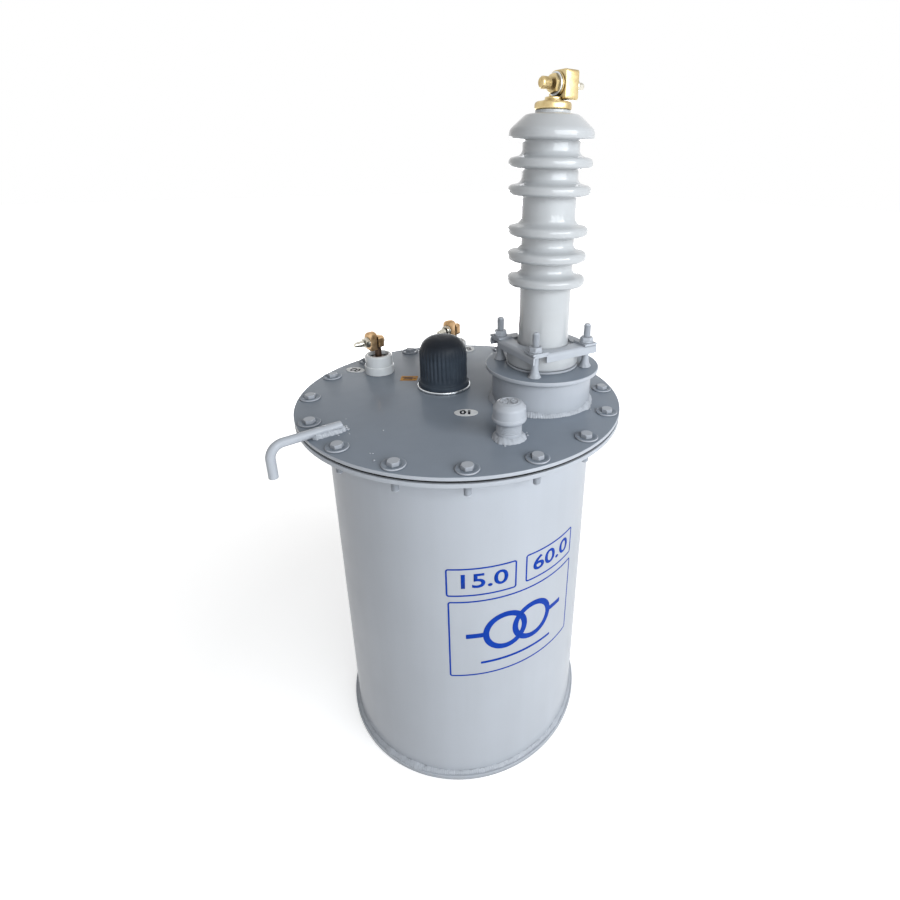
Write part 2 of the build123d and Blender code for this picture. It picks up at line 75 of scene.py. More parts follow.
def setInputs(tree, node, inputs):
    # a socket is linked, anything else is the socket's own value
    for socket, value in inputs.items():
        if isinstance(value, bpy.types.NodeSocket):
            tree.links.new(value, node.inputs[socket])
        else:
            node.inputs[socket].default_value = value


def addNode(tree, kind, inputs={}, **settings):
    node = tree.nodes.new("ShaderNode" + kind)
    for key, value in settings.items():
        setattr(node, key, value)
    setInputs(tree, node, inputs)
    return node


def addCamera(c):
    bpy.ops.object.camera_add(location=c["place"])
    camera = bpy.context.object
    camera.name = "photoCamera"
    camera.rotation_euler = (math.pi / 2 - c["pitchDown"], 0, math.radians(c["heading"]))
    camera.rotation_euler.rotate_axis("Z", c["roll"])
    camera.data.sensor_width = c["sensor"]
    camera.data.lens = c["focalPixels"] / c["imageSize"] * camera.data.sensor_width
    camera.data.shift_x = (c["imageSize"] / 2 - c["centreX"]) / c["imageSize"]
    camera.data.shift_y = (c["centreY"] - c["imageSize"] / 2) / c["imageSize"]
    camera.data.clip_start = c["clipStart"]
    bpy.context.scene.camera = camera


def addSoftbox(name, place, aim, size, power, tint):
    bpy.ops.object.light_add(type="AREA", location=place)
    lamp = bpy.context.object
    lamp.name = name
    lamp.data.shape = "RECTANGLE"
    lamp.data.size, lamp.data.size_y = size
    lamp.data.energy = power
    lamp.data.color = tint
    lamp.rotation_euler = (Vector(aim) - Vector(place)).to_track_quat("-Z", "Y").to_euler()


def addSeenWhite(tree):
    # one where the camera, a gloss or a clear ray looks
    path = addNode(tree, "LightPath")
    total = path.outputs["Is Camera Ray"]
    for ray in ("Is Glossy Ray", "Is Transmission Ray"):
        most = addNode(tree, "Math", {0: total, 1: path.outputs[ray]}, operation="MAXIMUM")
        total = most.outputs["Value"]
    return total


def addWorld(strength, tint):
    world = bpy.data.worlds.new("studioWorld")
    bpy.context.scene.world = world
    world.use_nodes = True
    tree = world.node_tree
    tree.nodes.clear()
    studio = addNode(tree, "Background", {"Color": (*tint, 1), "Strength": strength})
    white = addNode(tree, "Background", {"Color": (1, 1, 1, 1)})
    mix = addNode(tree, "MixShader", {
        "Fac": addSeenWhite(tree), 1: studio.outputs["Background"], 2: white.outputs["Background"]})
    addNode(tree, "OutputWorld", {"Surface": mix.outputs["Shader"]})


addCamera(cameraSet)
bpy.context.scene.view_settings.view_transform = "Standard"
addWorld(lightSet["worldStrength"], lightSet["worldTint"])
for lampName, lamp in lightSet["lamps"].items():
    addSoftbox(lampName, *lamp)
print("camera and lights set")


# materials

def newMaterial(name):
    material = bpy.data.materials.new(name)
    material.use_nodes = True
    tree = material.node_tree
    spots = addNode(tree, "TexCoord").outputs["Object"]
    return SimpleNamespace(material=material, tree=tree, shader=tree.nodes["Principled BSDF"], spots=spots)


def shaded(m, inputs):
    setInputs(m.tree, m.shader, inputs)
    return m.material


def addNoise(m, scale, detail, roughness=0.5, spots=None):
    return addNode(m.tree, "TexNoise", {
        "Scale": scale, "Detail": detail, "Roughness": roughness,
        "Vector": spots or m.spots}).outputs["Fac"]


def addStretch(m, scale):
    return addNode(m.tree, "Mapping", {"Scale": scale, "Vector": m.spots}).outputs["Vector"]


def addRamp(m, value, stops):
    ramp = addNode(m.tree, "ValToRGB", {"Fac": value})
    while len(ramp.color_ramp.elements) < len(stops):
        ramp.color_ramp.elements.new(0.5)
    for element, (place, colour) in zip(ramp.color_ramp.elements, stops):
        element.position = place
        element.color = (*colour, 1)
    return ramp.outputs["Color"]


def addTone(m, stops, scale, detail, roughness=0.5, spots=None):
    return addRamp(m, addNoise(m, scale, detail, roughness, spots), stops)


def addMix(m, factor, first, second):
    return addNode(m.tree, "Mix", {"Factor": factor, "A": first, "B": second},
                   data_type="RGBA", blend_type="MULTIPLY").outputs["Result"]


def addBump(m, height, strength, distance):
    bump = addNode(m.tree, "Bump", {"Strength": strength, "Distance": distance, "Height": height})
    setInputs(m.tree, m.shader, {"Normal": bump.outputs["Normal"]})


def addCreviceShade(m, colour, reach, dark, samples=6):
    # painted shade, with a little dust, darkening the colour where faces meet as contact shadow would
    hollow = addNode(m.tree, "AmbientOcclusion", {"Distance": reach}, samples=samples)
    shade = addRamp(m, hollow.outputs["AO"], [(0.3, (dark,) * 3), (0.9, (1, 1, 1))])
    return addMix(m, 1.0, colour, shade)


def addGloss(m, scale, detail, low, high):
    return addTone(m, [(0.25, (low,) * 3), (0.75, (high,) * 3)], scale, detail)


def tones(low, high):
    return [(0.3, low), (0.7, high)]


def dimmed(shade, share):
    return [share * part for part in shade]


def tankPaint(name, shade, specular, coat):
    m = newMaterial(name)
    patches = addTone(m, tones(dimmed(shade, 0.94), shade), scale=5, detail=4)
    runs = addStretch(m, (45, 45, 3))  # faint upright streaks
    streaks = addTone(m, [(0.3, (0.95, 0.95, 0.945)), (0.65, (1, 1, 1))], scale=1, detail=4, spots=runs)
    specks = [(0.22, (0.7, 0.69, 0.68)), (0.27, (1, 1, 1))]
    specks = addTone(m, specks, scale=330, detail=2, roughness=0.7)
    colour = addMix(m, 0.4, addMix(m, 0.6, patches, streaks), specks)
    peel = addNoise(m, scale=380, detail=3, roughness=0.6)
    addBump(m, peel, strength=0.08, distance=0.0006)
    return shaded(m, {
        # painted shade where faces meet
        "Base Color": addCreviceShade(m, colour, reach=0.02, dark=0.6),
        "Roughness": addGloss(m, 24, 3, 0.36, 0.46),
        "Specular IOR Level": specular, "Coat Weight": coat, "Coat Roughness": 0.1})


def porcelainGlaze(name, shade):
    m = newMaterial(name)
    tone = addTone(m, tones(dimmed(shade, 0.95), shade), scale=14, detail=4)
    rings = addStretch(m, (6, 6, 120))  # throwing rings from the wheel
    faint = addTone(m, tones((0.97, 0.965, 0.955), (1, 1, 1)), scale=1, detail=3, spots=rings)
    addBump(m, addNoise(m, scale=0.6, detail=2, spots=rings), strength=0.03, distance=0.0009)
    return shaded(m, {
        "Base Color": addMix(m, 0.5, tone, faint), "Roughness": 0.3,
        "Specular IOR Level": 0.4, "Coat Weight": 0.6, "Coat Roughness": 0.05})


def castBrass(name, tarnish, body, bright):
    m = newMaterial(name)
    tone = addTone(m, [(0.24, tarnish), (0.38, body), (0.72, bright)], scale=70, detail=3)
    addBump(m, addNoise(m, scale=420, detail=2), strength=0.05, distance=0.0004)
    return shaded(m, {
        # painted shade in the hollows
        "Base Color": addCreviceShade(m, tone, reach=0.006, dark=0.3), "Metallic": 1,
        "Roughness": addGloss(m, 220, 3, 0.3, 0.42)})


def platedSteel(name, dark, light):
    m = newMaterial(name)
    tone = addTone(m, tones(dark, light), scale=150, detail=4)
    addBump(m, addNoise(m, scale=700, detail=3), strength=0.08, distance=0.0003)
    return shaded(m, {
        # painted shade in the hollows
        "Base Color": addCreviceShade(m, tone, reach=0.008, dark=0.3), "Metallic": 1,
        "Roughness": addGloss(m, 300, 3, 0.24, 0.38)})


plasticSet = {
    "dark": (0.060, 0.080, 0.108),
    "light": (0.084, 0.108, 0.142),
    "crownFrom": 0.634,  # metres up, where the crown above starts to darken, painted shade for the little light it mirrors
    "crownTo": 0.657,
    "crownShade": (0.22, 0.22, 0.24),
}


def capPlastic(p):
    m = newMaterial("capPlastic")
    tone = addTone(m, tones(p["dark"], p["light"]), scale=45, detail=4)
    axes = addNode(m.tree, "SeparateXYZ", {"Vector": m.spots})
    rise = addNode(m.tree, "MapRange", {
        "From Min": p["crownFrom"], "From Max": p["crownTo"], "Value": axes.outputs["Z"]})
    # painted shade: the crown is darkened towards crownShade by height
    paintedCrownShade = addRamp(m, rise.outputs["Result"], [(0, (1, 1, 1)), (1, p["crownShade"])])
    dust = [(0.62, (0.45, 0.45, 0.45)), (0.74, (1, 1, 1))]
    dust = addTone(m, dust, scale=420, detail=3, roughness=0.7)
    addBump(m, addNoise(m, scale=900, detail=3), strength=0.16, distance=0.0003)
    return shaded(m, {
        "Base Color": addMix(m, 0.8, addMix(m, 1.0, tone, paintedCrownShade), dust),
        "Roughness": addGloss(m, 120, 3, 0.46, 0.58), "Specular IOR Level": 0.16})


def gasketRubber(dark, light):
    m = newMaterial("gasketRubber")
    addBump(m, addNoise(m, scale=500, detail=2), strength=0.25, distance=0.0004)
    return shaded(m, {
        "Base Color": addTone(m, tones(dark, light), scale=60, detail=3),
        "Roughness": 0.75, "Specular IOR Level": 0.2})


def printInk(name, dark, light):
    m = newMaterial(name)
    addBump(m, addNoise(m, scale=500, detail=2), strength=0.05, distance=0.0003)
    return shaded(m, {
        "Base Color": addTone(m, tones(dark, light), scale=90, detail=3),
        "Roughness": addGloss(m, 60, 2, 0.34, 0.46), "Specular IOR Level": 0.06})


# shade, specular, coat; the darker, duller copy is painted shade for faces that look up, as they mirror
# little light
paint = tankPaint("tankPaint", (0.485, 0.515, 0.565), 0.22, 0.2)
shadedTopPaint = tankPaint("shadedTopPaint", (0.262, 0.303, 0.362), 0.12, 0.15)
glaze = porcelainGlaze("porcelainGlaze", (0.53, 0.55, 0.57))
# a lighter copy of the same glaze, painted light for the low-voltage sleeves, which the lamps reach less
lvLitGlaze = porcelainGlaze("lvLitGlaze", (0.72, 0.745, 0.765))
# tarnish, body, bright
brass = castBrass("castBrass", (0.26, 0.18, 0.075), (0.56, 0.425, 0.20), (0.80, 0.66, 0.375))
bronze = castBrass("castBronze", (0.13, 0.075, 0.032), (0.46, 0.29, 0.145), (0.86, 0.60, 0.35))
darkBronze = castBrass("darkBronze", (0.035, 0.022, 0.016), (0.09, 0.058, 0.042), (0.17, 0.115, 0.085))
# dark, light
plated = platedSteel("platedSteel", (0.46, 0.44, 0.37), (0.78, 0.75, 0.66))
zinc = platedSteel("zincSteel", (0.66, 0.69, 0.72), (0.8, 0.83, 0.86))
plastic = capPlastic(plasticSet)
rubber = gasketRubber((0.010, 0.010, 0.010), (0.024, 0.024, 0.025))
inkBlue = printInk("inkBlue", (0.003, 0.040, 0.33), (0.005, 0.052, 0.39))
inkBlack = printInk("inkBlack", (0.008, 0.009, 0.016), (0.016, 0.018, 0.028))
labelWhite = printInk("labelWhite", (0.86, 0.87, 0.88), (0.91, 0.92, 0.93))
tagOrange = printInk("tagOrange", (0.66, 0.28, 0.012), (0.76, 0.34, 0.02))
print("materials ready")


# tools for modelling

def clearSelection():
    bpy.ops.object.select_all(action="DESELECT")


def makeActive(obj):
    clearSelection()
    obj.select_set(True)
    bpy.context.view_layer.objects.active = obj


def selectAll():
    bpy.ops.mesh.select_all(action="SELECT")


def editMesh(obj):
    makeActive(obj)
    bpy.ops.object.mode_set(mode="EDIT")
    bpy.ops.mesh.select_mode(type="VERT")
    selectAll()


def closeMesh():
    bpy.ops.object.mode_set(mode="OBJECT")


def leaveEdit(obj, smooth=40):
    closeMesh()
    bpy.ops.object.shade_smooth_by_angle(angle=math.radians(smooth))
    return obj


def selectWhere(obj, rule, kind="verts"):
    bpy.ops.mesh.select_all(action="DESELECT")
    mesh = bmesh.from_edit_mesh(obj.data)
    for part in getattr(mesh, kind):
        if rule(part):
            part.select_set(True)
    mesh.select_flush_mode()
    bmesh.update_edit_mesh(obj.data)


def reshape(obj, change):
    # in edit mode, each vertex goes where change puts it
    mesh = bmesh.from_edit_mesh(obj.data)
    for vert in mesh.verts:
        vert.co = change(vert.co)
    bmesh.update_edit_mesh(obj.data)


def workMesh(obj, change, smooth):
    editMesh(obj)
    reshape(obj, change)
    return leaveEdit(obj, smooth)


def narrowed(point, share):
    return Vector((point.x * share, point.y * share, point.z))


def faceOut():
    selectAll()
    bpy.ops.mesh.normals_make_consistent(inside=False)


def applyPlace():
    bpy.ops.object.transform_apply(location=True, rotation=True, scale=True)


def settle(obj, place=(0, 0, 0), turn=0, tilt=(0, 0)):
    # place in millimetres and angles in degrees, both kept in the mesh
    makeActive(obj)
    obj.location = Vector(place) * mm
    obj.rotation_euler = [math.radians(angle) for angle in (*tilt, turn)]
    applyPlace()
    return obj


def twin(obj, place, turn=0):
    copy = bpy.data.objects.new(obj.name, obj.data.copy())
    bpy.context.collection.objects.link(copy)
    return settle(copy, place, turn)


def joinPieces(name, parts):
    clearSelection()
    for part in parts:
        part.select_set(True)
    bpy.context.view_layer.objects.active = parts[0]
    if len(parts) > 1:
        bpy.ops.object.join()
    parts[0].name = name
    return parts[0]


def applyModifier(obj, kind, **settings):
    makeActive(obj)
    modifier = obj.modifiers.new(kind.title(), kind)
    for key, value in settings.items():
        setattr(modifier, key, value)
    bpy.ops.object.modifier_apply(modifier=modifier.name)
    return obj


def thicken(obj, thick, offset):
    return applyModifier(obj, "SOLIDIFY", thickness=thick * mm, offset=offset)


def dress(obj, material):
    obj.data.materials.clear()
    obj.data.materials.append(material)
    return obj


def dressShadedTop(obj, upright=0.9):
    # faces that look up carry the darker copy of the paint, painted shade for the dim light they mirror
    dress(obj, paint)
    obj.data.materials.append(shadedTopPaint)
    for face in obj.data.polygons:
        face.material_index = int(face.normal.z > upright)
    return obj


def handOver(obj, material, slotName, *replaced):
    if material:
        dress(obj, material)
    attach(obj, "root")
    if replaced:
        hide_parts(*replaced)
    return obj


def newest(name):
    obj = bpy.context.object
    obj.name = name
    return obj


def startPoint(name):
    # one vertex at the origin, in edit mode
    clearSelection()
    bpy.ops.mesh.primitive_plane_add(size=mm, location=(0, 0, 0))
    obj = newest(name)
    editMesh(obj)
    bpy.ops.mesh.merge(type="CENTER")
    return obj


def drawOutline(name, corners, degreesEach=13):
    # closed outline in the XZ plane, each corner (x, z, rounding) in millimetres
    obj = startPoint(name)
    points = [Vector((x, 0, z)) * mm for x, z, rounding in corners]
    bpy.ops.transform.translate(value=points[0])
    here = points[0]
    for point in points[1:] + points[:1]:
        bpy.ops.mesh.extrude_vertices_move(TRANSFORM_OT_translate={"value": point - here})
        here = point
    selectAll()
    bpy.ops.mesh.remove_doubles(threshold=mm / 100)
    for index, (x, z, rounding) in enumerate(corners):
        if rounding:
            point, after = points[index], points[(index + 1) % len(points)]
            turn = math.pi - (points[index - 1] - point).angle(after - point)
            selectWhere(obj, lambda vert: (vert.co - point).length < mm / 50)
            bpy.ops.mesh.bevel(offset=rounding * mm * math.tan(turn / 2), offset_type="OFFSET",
                               segments=max(2, round(math.degrees(turn) / degreesEach)),
                               affect="VERTICES")
    selectAll()
    return obj


def spinRound(steps, merge):
    bpy.ops.mesh.spin(steps=steps, angle=2 * math.pi, center=(0, 0, 0), axis=(0, 0, 1))
    selectAll()
    bpy.ops.mesh.remove_doubles(threshold=merge)


def lathe(name, corners, steps=64, smooth=40):
    obj = drawOutline(name, corners)
    spinRound(steps, mm / 100)
    selectWhere(obj, lambda edge: not edge.link_faces, "edges")
    bpy.ops.mesh.delete(type="EDGE")  # the outline's own line on the axis
    faceOut()
    return leaveEdit(obj, smooth)


def slab(name, corners, depth, edge):
    # outline pushed out along Y and its rim rounded, for blocks and jaws
    obj = drawOutline(name, corners)
    bpy.ops.mesh.edge_face_add()
    bpy.ops.mesh.extrude_region_move(TRANSFORM_OT_translate={"value": (0, depth * mm, 0)})
    faceOut()
    selectWhere(obj, lambda part: abs(part.verts[0].co.y - part.verts[1].co.y) < mm / 100, "edges")
    bpy.ops.mesh.bevel(offset=edge * mm, segments=3, affect="EDGES")
    return leaveEdit(obj)


def hexagon(name, flats, height, chamfer, spare=0.2):
    # hexagon bar cut back to a chamfered crown at both ends
    corner = flats / math.sqrt(3)
    clearSelection()
    bpy.ops.mesh.primitive_cylinder_add(vertices=6, radius=corner * mm, depth=height * mm,
                                        location=(0, 0, height * mm / 2))
    nut = newest(name)
    crown = lathe("crown", [
        (0, 0, 0), (flats / 2, 0, 0), (corner + spare, chamfer, 0),
        (corner + spare, height - chamfer, 0), (flats / 2, height, 0), (0, height, 0)], 48)
    applyModifier(nut, "BOOLEAN", operation="INTERSECT", solver="EXACT", object=crown)
    bpy.data.objects.remove(crown)
    editMesh(nut)
    bpy.ops.mesh.remove_doubles(threshold=mm / 100)
    return leaveEdit(nut, 25)


threadSet = {
    "depth": 0.55,  # shares of the pitch
    "flankUp": 0.42,
    "crest": 0.14,
    "flankDown": 0.44,
    "steps": 20,
    "tipSlope": 0.45,
}


def threadedRod(name, radius, length, pitch, taper, s=threadSet):
    # one tooth wound up as a real thread, cut to length and tapered at its tip
    rod = startPoint(name)
    depth = s["depth"] * pitch
    bpy.ops.transform.translate(value=Vector((radius - depth, 0, -1.5 * pitch)) * mm)
    for across, up in ((depth, s["flankUp"]), (0, s["crest"]), (-depth, s["flankDown"])):
        bpy.ops.mesh.extrude_vertices_move(
            TRANSFORM_OT_translate={"value": Vector((across, 0, up * pitch)) * mm})
    closeMesh()
    applyModifier(rod, "SCREW", axis="Z", angle=2 * math.pi, screw_offset=pitch * mm,
                  steps=s["steps"], render_steps=s["steps"], iterations=math.ceil(length / pitch) + 3,
                  use_merge_vertices=True, merge_threshold=mm / 200)
    editMesh(rod)
    bpy.ops.mesh.remove_doubles(threshold=mm / 200)
    for level, way in ((0, -1), (length, 1)):
        selectAll()
        bpy.ops.mesh.bisect(plane_co=(0, 0, level * mm), plane_no=(0, 0, way), use_fill=True,
                            clear_outer=True, threshold=mm / 1000)
    faceOut()

    def taperTip(point):
        past = point.z / mm - (length - taper)
        least = (radius - depth - s["tipSlope"] * past) * mm
        reach = math.hypot(point.x, point.y)
        return narrowed(point, least / reach) if past > 0 and reach > least else point

    reshape(rod, taperTip)
    return leaveEdit(rod, 30)


def smoothCopy(name, node, edge, smooth=35, flat=0.5, sharp=50):
    # the CAD piece with its flat faces merged and its edges eased
    obj = bpy.data.objects.new(name, nodes[node].data.copy())
    bpy.context.collection.objects.link(obj)
    editMesh(obj)
    bpy.ops.mesh.remove_doubles(threshold=mm / 500)
    bpy.ops.mesh.dissolve_limited(angle_limit=math.radians(flat))
    leaveEdit(obj, smooth)
    applyModifier(obj, "BEVEL", width=edge * mm, segments=2, limit_method="ANGLE",
                  angle_limit=math.radians(sharp), use_clamp_overlap=True)
    makeActive(obj)
    bpy.ops.object.shade_smooth_by_angle(angle=math.radians(smooth))
    return obj


def easedCopies(name, node, endings, edge):
    for ending in endings:
        piece = smoothCopy(name + "." + ending, node + "_" + ending, edge)
        handOver(piece, paint, "tank_paint", node + "_" + ending)


# tank and cover

coverTop = 585  # millimetres above the floor
tankRadius = 199

tankSet = {
    "tank_shell": ("tankWall", 196, tankRadius, 0, 200),  # inner and outer radius, rounding, steps
    "base_plate": ("tankBase", 0, 206.5, 1.2, 200),
    "tank_flange": ("tankRim", tankRadius, 240, 0.9, 200),
    "cover_gasket": ("coverSeal", tankRadius, 237.5, 0.8, 200),
    "cover_plate": ("coverDisc", 0, 240, 1.1, 200),
}

hvPlace = (89.0, -84.17)
turretSet = {
    "hv_turret": ("turretWall", 69, 73, 0, 120),
    "hv_turret_flange": ("turretRim", 31, 83, 1.6, 120),
    "hv_gasket": ("turretSeal", 31, 52.5, 0.8, 96),
}


def plateRing(node, name, inner, outer, rounding, steps, centre):
    low, high = (corner.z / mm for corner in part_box(node))
    corners = [(inner, low, 0), (outer, low, rounding), (outer, high, rounding), (inner, high, 0)]
    ring = settle(lathe(name, corners, steps, 30), (*centre, 0))
    if node == "cover_gasket":
        return handOver(ring, rubber, "gasket_rubber", node)
    if node in ("cover_plate", "hv_turret_flange"):
        return handOver(dressShadedTop(ring), None, "tank_paint", node)
    return handOver(ring, paint, "tank_paint", node)


for group, centre in ((tankSet, (0, 0)), (turretSet, hvPlace)):
    for node, shape in group.items():
        plateRing(node, *shape, centre)
print("tank, cover and turret turned")


# porcelain

hvPorcelainSet = {
    "foot": 643,  # millimetres above the floor
    "bore": 7.3,
    "tail": (30, -96),
    "collar": (51.5, 28, 4),  # radius, height, rounding
    "stem": 36.5,
    "stemFoot": 1.2,
    "shed": 54,
    "shedEdge": 12,
    "shedSlope": 12,
    "shedRoundings": (2.6, 4.56, 6, 8),
    "undersides": (113.9, 146.5, 179.1, 229.1, 261.7),
    "crown": 294.3,
    "crownRim": (11.5, 9.2),
    "shoulder": (33.5, 29.3, 8),
    "neck": (22, 29.8, 2.4),
    "top": 328.3,
    "topEdge": 0.8,
    "steps": 112,
}


def hvPorcelain(p):
    stem, shed, bore, edge = p["stem"], p["shed"], p["bore"], p["shedEdge"]
    tail, tailEnd = p["tail"]
    collar, collarTop, rounding = p["collar"]
    root, under, over, hollow = p["shedRoundings"]
    rimHeight, rimBend = p["crownRim"]
    rise = edge + (shed - stem) * math.tan(math.radians(p["shedSlope"]))
    corners = [(bore, tailEnd, 0), (tail, tailEnd, 0), (tail, 0, 0), (collar, 0, rounding),
               (collar, collarTop, rounding), (stem, collarTop, p["stemFoot"])]
    for low in p["undersides"]:
        corners += [(stem, low, root), (shed, low, under),
                    (shed, low + edge, over), (stem, low + rise, hollow)]
    low = p["crown"]
    corners += [(stem, low, root), (shed, low, under), (shed, low + rimHeight, rimBend)]
    corners += [(radius, low + height, bend) for radius, height, bend in (p["shoulder"], p["neck"])]
    corners += [(p["neck"][0], p["top"], p["topEdge"]), (bore, p["top"], 0)]
    return settle(lathe("hvPorcelain", corners, p["steps"], 50), (*hvPlace, p["foot"]))


lvPorcelainSet = {
    "lv_bushing_1": (-50.69, 159.79),
    "lv_bushing_2": (89.58, 141.70),
    "sleeve": [(5.8, -45, 0), (15.5, -45, 0), (15.5, 0, 0), (23.8, 0, 0.6), (23.8, 14, 1.5),
               (22.3, 14, 0.6), (22.3, 32, 2.8), (16.5, 32, 1.5), (16.5, 23, 1), (5.8, 23, 0)],
    "seal": [(9.3, 23, 0), (16.2, 23, 0), (16.2, 26.2, 0.8), (9.3, 26.2, 0.8)],
}


def standPair(name, outline, steps, material, slotName, replacing=False):
    # turned once, then one on each low-voltage place
    pattern = lathe(name, lvPorcelainSet[outline], steps)
    for number in ("1", "2"):
        bushing = "lv_bushing_" + number
        piece = twin(pattern, (*lvPorcelainSet[bushing], coverTop))
        piece.name = name + number
        handOver(piece, material, slotName, *([bushing] if replacing else []))
    bpy.data.objects.remove(pattern)


handOver(hvPorcelain(hvPorcelainSet), glaze, "porcelain", "hv_bushing")
standPair("lvPorcelain", "sleeve", 72, lvLitGlaze, "porcelain", True)
standPair("lvSeal", "seal", 56, rubber, "gasket_rubber")
print("porcelain turned")


# pressed clamp

clampSet = {
    "angle": -8,
    "spacing": 89,
    "studFoot": 640,
    "studLength": 63.5,
    "studRadius": 5,
    "studTurn": 70,  # degrees from one stud to the next, so that no two welds look alike
    "foot": [(10, 0, 0.6), (8.4, 1.6, 1), (6.4, 5.5, 6), (5, 12, 4)],
    "footSwell": 0.16,
    "footGrain": 260,
    "thread": (30, 1.5, 1.6),  # length, pitch, taper
    "nutLevel": 677,
    "nutTurns": (17, 23),
    "washer": (4.6, 9.5, 2.0),  # bore, radius, thickness
    "nut": (16, 11, 1.7),
}


def clampStud(c):
    radius = c["studRadius"]
    threadLength, pitch, taper = c["thread"]
    plain = c["studLength"] - threadLength
    footHeight = c["foot"][-1][1]
    shank = lathe("clampStud", [(0, 0, 0), *c["foot"], (radius, plain + 1, 0), (0, plain + 1, 0)], 40, 50)

    def swellFoot(point):
        height = point.z / mm
        if height >= footHeight:
            return point
        swell = noise.noise(point * c["footGrain"]) * (1 - height / footHeight)
        return narrowed(point, 1 + c["footSwell"] * swell)

    workMesh(shank, swellFoot, 50)
    thread = settle(threadedRod("clampThread", radius, threadLength, pitch, taper), (0, 0, plain))
    return joinPieces("clampStud", [shank, thread])


def clampNut(c):
    bore, radius, thick = c["washer"]
    washer = lathe("clampWasher", [
        (bore, 0, 0), (radius, 0, 0.5), (radius, thick, 0.7), (bore, thick, 0)], 40)
    nut = settle(hexagon("clampNut", *c["nut"]), (0, 0, thick))
    return joinPieces("clampNut", [washer, nut])


def onSquare(c, pattern, level, name, node, firstTurn, nextTurn):
    # one copy at each corner of the clamp's square, joined into one piece
    half, turn = c["spacing"] / 2, math.radians(c["angle"])
    copies = []
    for index, (x, y) in enumerate(((-half, -half), (half, -half), (half, half), (-half, half))):
        place = (hvPlace[0] + x * math.cos(turn) - y * math.sin(turn),
                 hvPlace[1] + x * math.sin(turn) + y * math.cos(turn), level)
        copies.append(twin(pattern, place, firstTurn + nextTurn * index))
    bpy.data.objects.remove(pattern)
    handOver(joinPieces(name, copies), paint, "tank_paint", node)


easedCopies("clampBar", "hv_clamp", ("front", "right", "back", "left"), 0.45)
onSquare(clampSet, clampStud(clampSet), clampSet["studFoot"], "clampStuds", "hv_clamp_studs",
         0, clampSet["studTurn"])
onSquare(clampSet, clampNut(clampSet), clampSet["nutLevel"], "clampNuts", "hv_clamp_nuts",
         *clampSet["nutTurns"])
print("clamp built")


# brass terminals, own x along the clamp bolt towards its nut

hvTerminalSet = {
    "level": 980.8,
    "turn": 175,
    "capLevel": 971.3,
    "cap": [(6, 0, 0), (22.2, 0, 1.2), (23, 1.5, 1.5), (23, 9.5, 4), (6, 9.5, 0)],
    "foot": [(0, -4, 0), (13, -4, 0), (13, 1.4, 1), (10.5, 2.2, 1), (10.5, 5, 1), (0, 5, 0)],
    "block": (-26.5, -5.5, 32, 2, 35),  # x from, x to, width, z from, z to
    "rounding": (3.2, 3.2, 10.2, 3.2),
    "edge": 1.0,
    "bolt": (14, 19.5, 20.3),  # diameter, height, tip
    "thread": (1.5, 1.4),  # pitch, taper
    "tail": [(0, -21.5, 0), (3.6, -21.5, 1.2), (4.6, -19, 1), (4.6, -11, 0), (7.6, -11, 0.8),
             (7.6, -8.5, 2), (4.6, -5, 0), (4.6, 0, 0), (0, 0, 0)],
    "washers": ((-5.5, 28, 2.4), (-3.1, 26.5, 2.4)),  # start, diameter, thickness
    "nut": (20, 10, 1.8),  # across flats, height, chamfer
    "nutStart": -0.7,
    "nutTurn": 12,
}

lvTerminalSet = {
    "level": 617,
    "turns": {"1": 187, "2": 198},
    "block": (-7, 3.6, 19, 12.7, 31.2),
    "rounding": (2.3, 3.8, 5.7, 2.3),
    "edge": 0.9,
    "jaw": (6.3, 18.3, 16, 5.5, 17),  # start, end, radius, rounding, width across its flats
    "jawEdges": (0.6, 0.7),
    "bolt": (11, 23.5, 43.5),
    "shankFrom": -11,
    "washers": ((18.3, 17, 1.6), (19.9, 16, 1.6)),
    "nut": (15, 8, 1.5),
    "nutStart": 21.5,
    "nutTurn": 25,
    "post": [(0, -9, 0), (9, -9, 0), (9, -4, 0.8), (5.5, -4, 0.6), (5.5, 13.7, 0), (0, 13.7, 0)],
}
overlap = 1  # millimetres that joined pieces run into each other


def cheekBlock(name, t):
    # outline across the bolt: near bottom, near top, far top, far bottom
    start, end, width, low, high = t["block"]
    half = width / 2
    ends = ((half, low), (half, high), (-half, high), (-half, low))
    corners = [(*corner, rounding) for corner, rounding in zip(ends, t["rounding"])]
    block = slab(name, corners, end - start, t["edge"])
    return settle(settle(block, (0, start - end, 0)), (start, 0, 0), 90)


def alongBolt(obj, height, start):
    # turned piece laid along x, its foot at start
    return settle(obj, (start, 0, height), tilt=(0, 90))


def ringWasher(name, diameter, thick, bore=5, edge=0.7):
    radius = diameter / 2
    return lathe(name, [(bore, 0, 0), (radius, 0, edge), (radius, thick, edge), (bore, thick, 0)], 56)


def washersAndNut(name, t):
    height = t["bolt"][1]
    washers = [alongBolt(ringWasher(name + "Washer", size, thick), height, start)
               for start, size, thick in t["washers"]]
    nut = settle(hexagon(name + "Nut", *t["nut"]), turn=t["nutTurn"])
    nutEnd = t["nutStart"] + t["nut"][1] - overlap
    return washers, alongBolt(nut, height, t["nutStart"]), nutEnd


